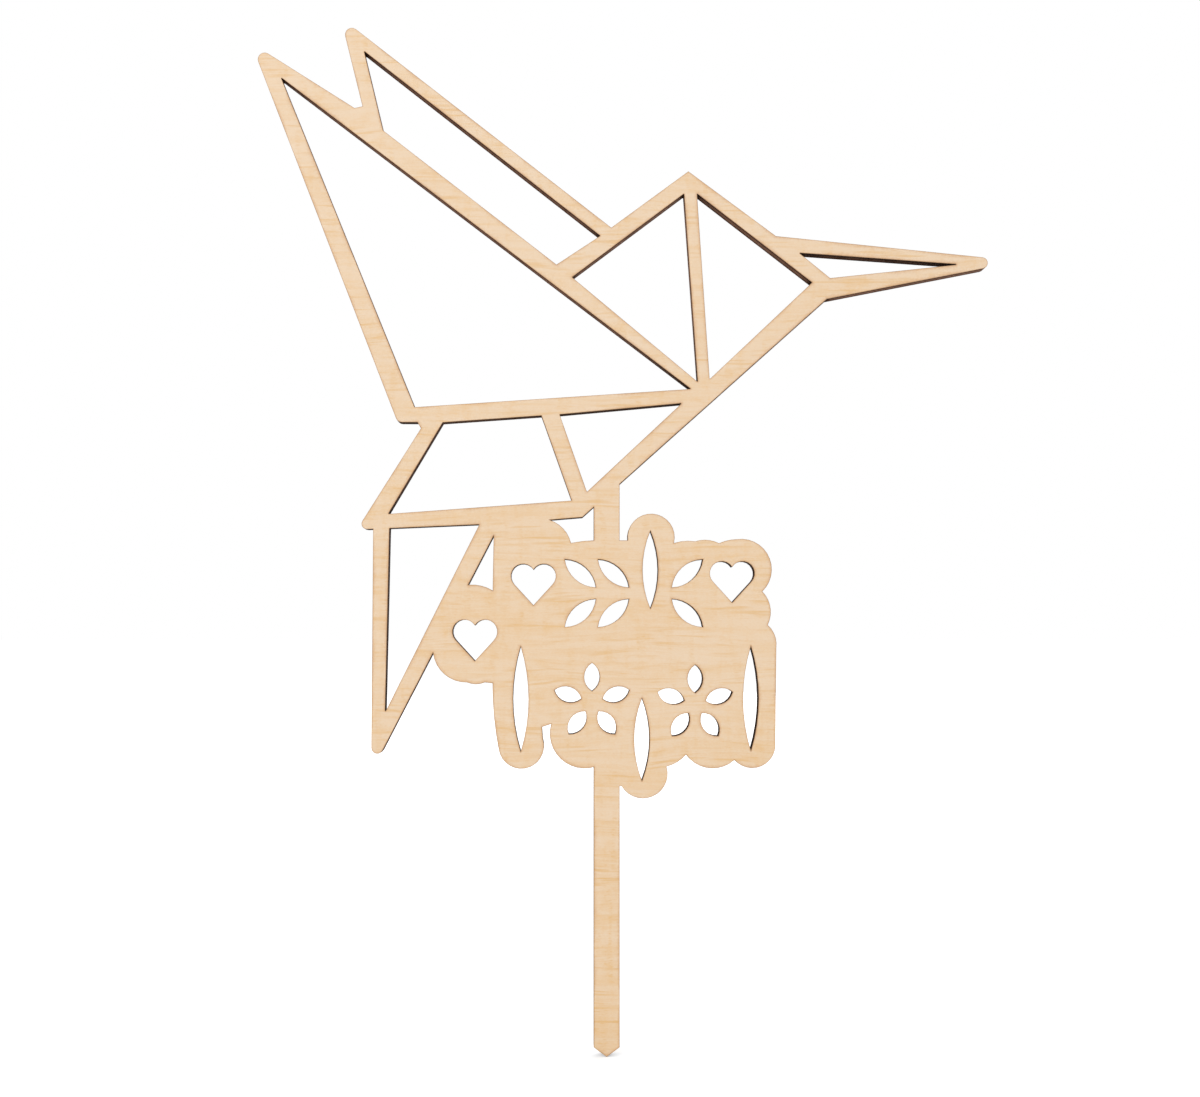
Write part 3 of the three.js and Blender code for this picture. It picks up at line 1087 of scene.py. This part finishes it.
@dataclass(frozen=True)
class PlyLayup(GroupRecipe):
    """Geometry nodes that give the flat sheet its thickness, its broken edge and its place in the stack.

    Attributes:
        weld: how close together two points are one, in metres.
        crease_degrees: from which turn on an edge is a crease.
    """

    name = "ply_layup"
    tree_kind = "GeometryNodeTree"
    ports_in = (
        Port("Sheet", "NodeSocketGeometry"),
        Port("Inner Plane", "NodeSocketFloat"),
        Port("Thickness", "NodeSocketFloat"),
        Port("Arris", "NodeSocketFloat"),
        Port("Facing", "NodeSocketFloat"),
        Port("Face Material", "NodeSocketMaterial"),
        Port("Wall Material", "NodeSocketMaterial"),
    )
    ports_out = (Port("Ply", "NodeSocketGeometry"),)

    weld: float = 1e-6
    crease_degrees: float = 25.0

    # The way out of the front, and how many faces lie beside an edge at the cut
    flat_out = (0.0, -1.0, 0.0)
    faces_at_cut = 1

    # A Compare node names its sockets alike for every type, so the ones for whole numbers go by number
    first_whole = 2
    second_whole = 3

    def build(self, bench: Bench, given: Mapping[str, Socket]) -> dict[str, Socket]:
        """Adds the layup's nodes.

        Args:
            bench: the bench on the group's tree.
            given: the group's inputs by name.

        Returns:
            The finished ply.
        """
        flat = self._with_edge_distance(bench, given["Sheet"])
        depth = bench.calc("SUBTRACT", given["Thickness"], given["Arris"])
        wall = self._raised(bench, {"Mesh": flat, "Offset Scale": depth})
        edge = {"Mesh": wall["Mesh"], "Selection": wall["Top"], "Offset Scale": given["Arris"]}
        arris = self._raised(bench, edge)
        inward = bench.made("GeometryNodeInputNamedAttribute", {"Name": INWARD}, data_type="FLOAT_VECTOR")
        draw = {"Geometry": arris["Mesh"], "Selection": arris["Top"]}
        draw["Offset"] = bench.scaled(inward, given["Arris"])
        both = bench.add("GeometryNodeJoinGeometry", {0: bench.made("GeometryNodeFlipFaces", {"Mesh": flat})})
        bench.feed(both.inputs[0], bench.made("GeometryNodeSetPosition", draw))
        weld = {"Geometry": both.outputs[0], "Distance": self.weld}
        closed = bench.made("GeometryNodeMergeByDistance", weld)
        placed = self._stood_in_stack(bench, closed, given["Inner Plane"], given["Facing"])
        creased = self._creased(bench, placed)
        spared = bench.made("GeometryNodeRemoveAttribute", {"Geometry": creased, "Name": INWARD})
        real = bench.made("GeometryNodeRealizeInstances", {0: spared})
        dress = {"Geometry": real, "Material": given["Face Material"]}
        faced = bench.made("GeometryNodeSetMaterial", dress)
        dress = {"Geometry": faced, "Selection": wall["Side"], "Material": given["Wall Material"]}
        return {"Ply": bench.made("GeometryNodeSetMaterial", dress)}

    def _with_edge_distance(self, bench: Bench, sheet: Socket) -> Socket:
        """Stores each point's distance from the cut.

        Args:
            bench: the bench on the tree.
            sheet: the flat sheet.

        Returns:
            The sheet with the distance on it.
        """
        faces = bench.made("GeometryNodeInputMeshEdgeNeighbors")
        sides = {self.first_whole: faces, self.second_whole: self.faces_at_cut}
        at_cut = bench.made("FunctionNodeCompare", sides, data_type="INT", operation="EQUAL")
        parts = {"Geometry": sheet, "Selection": at_cut}
        cut = bench.made("GeometryNodeSeparateGeometry", parts, domain="EDGE")
        near = bench.add("GeometryNodeProximity", {0: cut}, target_element="EDGES").outputs["Distance"]
        store = {"Geometry": sheet, "Name": EDGE_DISTANCE, "Value": near}
        return bench.made("GeometryNodeStoreNamedAttribute", store, data_type="FLOAT", domain="POINT")

    def _raised(self, bench: Bench, what: Inputs) -> bpy.types.NodeOutputs:
        """Returns the mesh, top and side of an extrusion of faces as one, out of the sheet."""
        inputs = {"Offset": self.flat_out, "Individual": False, **what}
        return bench.add("GeometryNodeExtrudeMesh", inputs, mode="FACES").outputs

    def _stood_in_stack(self, bench: Bench, mesh: Socket, inner_plane: Socket, facing: Socket) -> Socket:
        """Turns the ply to its side of the stack and moves it to its plane there.

        Args:
            bench: the bench on the tree.
            mesh: the ply as it was cut, raised from y = 0 towards -Y.
            inner_plane: where its inner face goes.
            facing: -1 to leave it as it is, or 1 to turn it to +Y.

        Returns:
            The ply in its place.
        """
        parts = bench.split(bench.made("GeometryNodeInputPosition"))
        outward = bench.calc("MULTIPLY", parts["Y"], bench.calc("MULTIPLY", facing, -1.0))
        stood = bench.joined(parts["X"], bench.calc("ADD", outward, inner_plane), parts["Z"])
        moved = bench.made("GeometryNodeSetPosition", {"Geometry": mesh, "Position": stood})
        mirrored = bench.calc("GREATER_THAN", facing, 0.0)
        return bench.made("GeometryNodeFlipFaces", {"Mesh": moved, "Selection": mirrored})

    def _creased(self, bench: Bench, mesh: Socket) -> Socket:
        """Smooths the mesh along its round walls and creases it where it turns.

        Args:
            bench: the bench on the tree.
            mesh: the ply.

        Returns:
            The ply with its creases.
        """
        angle = bench.add("GeometryNodeInputMeshEdgeAngle").outputs["Unsigned Angle"]
        gentle = bench.calc("LESS_THAN", angle, math.radians(self.crease_degrees))
        smooth = bench.made("GeometryNodeSetShadeSmooth", {0: mesh, "Shade Smooth": True}, domain="FACE")
        return bench.made("GeometryNodeSetShadeSmooth", {0: smooth, "Shade Smooth": gentle}, domain="EDGE")


@dataclass
class Ply:
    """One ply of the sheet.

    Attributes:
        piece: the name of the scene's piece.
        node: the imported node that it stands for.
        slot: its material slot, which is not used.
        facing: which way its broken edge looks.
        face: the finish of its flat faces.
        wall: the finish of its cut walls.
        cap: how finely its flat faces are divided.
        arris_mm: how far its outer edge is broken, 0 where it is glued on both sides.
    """

    piece: str
    node: str
    slot: RecordSlot
    facing: Facing
    face: Finish
    wall: Finish
    cap: Cap = Cap.HIDDEN
    arris_mm: float = 0.0

    def build(self, sheet: bpy.types.Mesh) -> bpy.types.Object:
        """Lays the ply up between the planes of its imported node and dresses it.

        Args:
            sheet: the flat sheet, cut as finely as this ply needs.

        Returns:
            The finished piece.
        """
        low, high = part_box(self.node)
        inner = low.y if self.facing is Facing.BACK else high.y
        piece = bpy.data.objects.new(self.piece, sheet.copy())
        bpy.context.scene.collection.objects.link(piece)
        self._lay_up(piece, inner, high.y - low.y)
        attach(piece, WHOLE_BODY)
        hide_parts(self.node)
        return piece

    def _lay_up(self, piece: bpy.types.Object, inner_plane: float, thickness: float) -> None:
        """Runs the layup on a piece and keeps the result as its plain mesh.

        Args:
            piece: the object that carries the flat sheet.
            inner_plane: where the ply's inner face lies along y, in metres.
            thickness: how thick it is, in metres.
        """
        tree = PlyLayup().tree()
        face = self.face.material()
        piece.data.materials.append(face)
        values = {
            "Inner Plane": inner_plane,
            "Thickness": thickness,
            "Arris": self.arris_mm / MM_PER_METRE,
            "Facing": float(self.facing.value),
            "Face Material": face,
            "Wall Material": self.wall.material(),
        }
        modifier = piece.modifiers.new("layup", "NODES")
        modifier.node_group = tree
        for item in tree.interface.items_tree:
            if item.item_type == "SOCKET" and item.in_out == "INPUT" and item.name in values:
                modifier[item.identifier] = values[item.name]
        depsgraph = bpy.context.evaluated_depsgraph_get()
        laid = bpy.data.meshes.new_from_object(
            piece.evaluated_get(depsgraph), preserve_all_data_layers=True, depsgraph=depsgraph
        )
        laid.name = self.piece
        piece.modifiers.remove(modifier)
        piece.data = laid


@dataclass
class PlywoodSheet:
    """The whole topper: two face veneers and a core, glued and then cut in one pass.

    Attributes:
        arris_mm: how far the edges of its front and its back are broken.
    """

    arris_mm: float = 0.05

    @staticmethod
    def _burnt(name: str, surface: Surface, seed: float, brown: str, soot: str, tan: str) -> KerfFinish:
        """Returns the finish of a burnt wall, from its colours as they are written."""
        return KerfFinish(name, surface, Colour(brown), Colour(soot), Colour(tan), seed)

    def plies(self) -> list[Ply]:
        """Lists the plies with their finishes.

        Returns:
            The five plies from front to back.
        """
        burnt_front = self._burnt("burnt_front_edge", BURNT_WOOD, 1.5, "523325", "2b160a", "7d523a")
        burnt_back = self._burnt("burnt_back_edge", BURNT_WOOD, 7.5, "5a3929", "2f190d", "855a3b")
        burnt_core = self._burnt("burnt_core_edge", BURNT_WOOD, 4.5, "805e4c", "3a2214", "9c725a")
        burnt_glue = self._burnt("charred_glue", BURNT_GLUE, 9.5, "301c12", "1c0e07", "3f271a")
        front_face = FaceFinish(
            name="birch_front",
            surface=BARE_WOOD,
            pale=Colour("efd6b9"),
            honey=Colour("ebc697"),
            streak=Colour("e4b675"),
            toast=Colour("d3a273"),
            char=Colour("6e4a30"),
            seed=0.0,
        )
        back_face = FaceFinish(
            name="birch_back",
            surface=BARE_WOOD,
            pale=Colour("eed1ae"),
            honey=Colour("e6bd88"),
            streak=Colour("dba763"),
            toast=Colour("c99768"),
            char=Colour("6a4229"),
            seed=83.0,
        )
        front, back = Facing
        veneer, core, glue = RecordSlot
        edge = self.arris_mm
        return [
            Ply("front_face_veneer", "front_veneer", veneer, front, front_face, burnt_front, Cap.SHOWN, edge),
            Ply("front_glue_film", "front_glue_line", glue, front, burnt_glue, burnt_glue),
            Ply("core_ply", "core_veneer", core, front, burnt_core, burnt_core),
            Ply("back_glue_film", "back_glue_line", glue, back, burnt_glue, burnt_glue),
            Ply("back_face_veneer", "back_veneer", veneer, back, back_face, burnt_back, Cap.SHOWN, edge),
        ]

    def build(self, nodes: Mapping[str, bpy.types.Object]) -> list[bpy.types.Object]:
        """Cuts and lays up every ply.

        Args:
            nodes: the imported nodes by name.

        Returns:
            The finished pieces from front to back.
        """
        plies = self.plies()
        cutter = SheetCutter(CutOutline.of_ply(nodes[plies[0].node]))
        sheets = {cap: cutter.flat_mesh(f"sheet_{cap.value}", cap) for cap in Cap}
        pieces = [ply.build(sheets[ply.cap]) for ply in plies]
        for sheet in sheets.values():
            bpy.data.meshes.remove(sheet)
        return pieces


@dataclass(frozen=True)
class Lamp:
    """One large square lamp that looks at the topper.

    Attributes:
        name: the lamp's name.
        place: where it hangs, in metres.
        side: its side, in metres.
        watts: its power.
    """

    name: str
    place: Place
    side: float
    watts: float

    def hang(self) -> None:
        """Hangs the lamp and turns it to the middle of the topper."""
        light = bpy.data.lights.new(self.name, "AREA")
        light.shape = "SQUARE"
        light.size = self.side
        light.energy = self.watts
        lamp = bpy.data.objects.new(self.name, light)
        lamp.location = self.place
        low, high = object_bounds()
        middle = (Vector(low) + Vector(high)) / 2
        lamp.rotation_euler = (middle - Vector(self.place)).to_track_quat("-Z", "Y").to_euler()
        bpy.context.scene.collection.objects.link(lamp)


@dataclass
class Studio:
    """A white floor, plain soft light and the camera.

    Attributes:
        floor_side: the floor's side in metres.
        floor_grey: the floor's own grey, which leaves room for the object's shadow.
        near_floor: how far from the stake's tip the near part of the floor reaches, and where the far part
            starts, in metres.
        lift_shares: what the near and the far part add to themselves where they are seen, so that the floor
            is nearly white.
        ambient_share: how strongly the world lights the object.
        key_lamp: the large lamp in front.
        fill_lamp: the one behind.
        camera_place_mm: where the camera stands.
        lens_mm: its lens.
        sensor_mm: how wide its sensor is.
        shift_shares: how far the frame is shifted, as shares of its width.
        nearest_seen: how near the camera sees, in metres.
    """

    floor_side: float = 30.0
    floor_grey: float = 0.8
    near_floor: Span = (0.25, 0.7)
    lift_shares: Span = (0.42, 0.6)
    ambient_share: float = 0.62
    key_lamp: Lamp = Lamp("key_lamp", place=(-0.55, -1.15, 0.85), side=1.1, watts=9.4)
    fill_lamp: Lamp = Lamp("fill_lamp", place=(0.7, 1.2, 0.7), side=1.4, watts=10.8)
    camera_place_mm: Place = (-8.2, -292.5, 87.3)
    lens_mm: float = 42.5
    sensor_mm: float = 36.0
    shift_shares: Span = (0.0277, 0.0697)
    nearest_seen: float = 0.01

    def build(self) -> None:
        """Builds the floor, the light and the camera, and sets how colours are shown."""
        self._floor()
        self._world()
        self.key_lamp.hang()
        self.fill_lamp.hang()
        self._camera()
        bpy.context.scene.view_settings.view_transform = "Standard"

    @staticmethod
    def _seen(bench: Bench) -> Socket:
        """Tells which rays show the background.

        Args:
            bench: the bench on the material's or the world's tree.

        Returns:
            1 for a ray that shows it straight on, in gloss or through glass, and 0 for one that lights.
        """
        path = bench.add("ShaderNodeLightPath").outputs
        seen = bench.calc("MAXIMUM", path["Is Camera Ray"], path["Is Glossy Ray"])
        return bench.calc("MAXIMUM", seen, path["Is Transmission Ray"])

    def _floor(self) -> None:
        """Lays the floor at the height of the stake's tip."""
        half = self.floor_side / 2
        corners = [(x * half, y * half, 0.0) for x, y in ((-1, -1), (1, -1), (1, 1), (-1, 1))]
        mesh = bpy.data.meshes.new("floor")
        mesh.from_pydata(corners, [], [tuple(range(len(corners)))])
        floor = bpy.data.objects.new("floor", mesh)
        bpy.context.scene.collection.objects.link(floor)
        material, bench, shader = blank_material("floor_white")
        place = {0: object_place(bench)}
        reach = bench.add("ShaderNodeVectorMath", place, operation="LENGTH").outputs["Value"]
        lift = bench.ramp(reach, self.near_floor, self.lift_shares)
        paint = {
            "Base Color": (self.floor_grey, self.floor_grey, self.floor_grey, 1.0),
            "Roughness": 1.0,
            "Specular IOR Level": 0.0,
            "Emission Color": WHITE,
            "Emission Strength": bench.calc("MULTIPLY", self._seen(bench), lift),
        }
        for name, value in paint.items():
            bench.feed(shader.inputs[name], value)
        mesh.materials.append(material)
        floor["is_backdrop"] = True

    def _world(self) -> None:
        """Makes the world white where it is seen and softer where it lights."""
        world = bpy.data.worlds.new("soft_white")
        world.use_nodes = True
        world.node_tree.nodes.clear()
        bench = Bench(world.node_tree)
        rest_share = 1.0 - self.ambient_share
        strength = bench.calc("MULTIPLY_ADD", self._seen(bench), rest_share, self.ambient_share)
        sky = bench.made("ShaderNodeBackground", {"Color": WHITE, "Strength": strength})
        bench.add("ShaderNodeOutputWorld", {"Surface": sky})
        bpy.context.scene.world = world

    def _camera(self) -> None:
        """Stands the camera level in front of the topper, as close as the photograph's was."""
        data = bpy.data.cameras.new("camera")
        data.lens = self.lens_mm
        data.sensor_fit = "HORIZONTAL"
        data.sensor_width = self.sensor_mm
        data.shift_x, data.shift_y = self.shift_shares
        data.clip_start = self.nearest_seen
        camera = bpy.data.objects.new("camera", data)
        camera.location = Vector(self.camera_place_mm) / MM_PER_METRE
        camera.rotation_euler = (math.radians(90), 0.0, 0.0)
        bpy.context.scene.collection.objects.link(camera)
        bpy.context.scene.camera = camera


def main() -> None:
    """Builds the topper and its studio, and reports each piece."""
    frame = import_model()
    for piece in PlywoodSheet().build(frame["nodes"]):
        log.info("%s: %d faces", piece.name, len(piece.data.polygons))
    Studio().build()


if __name__ == "__main__":
    logging.basicConfig(level=logging.INFO, format="%(name)s: %(message)s")
    main()
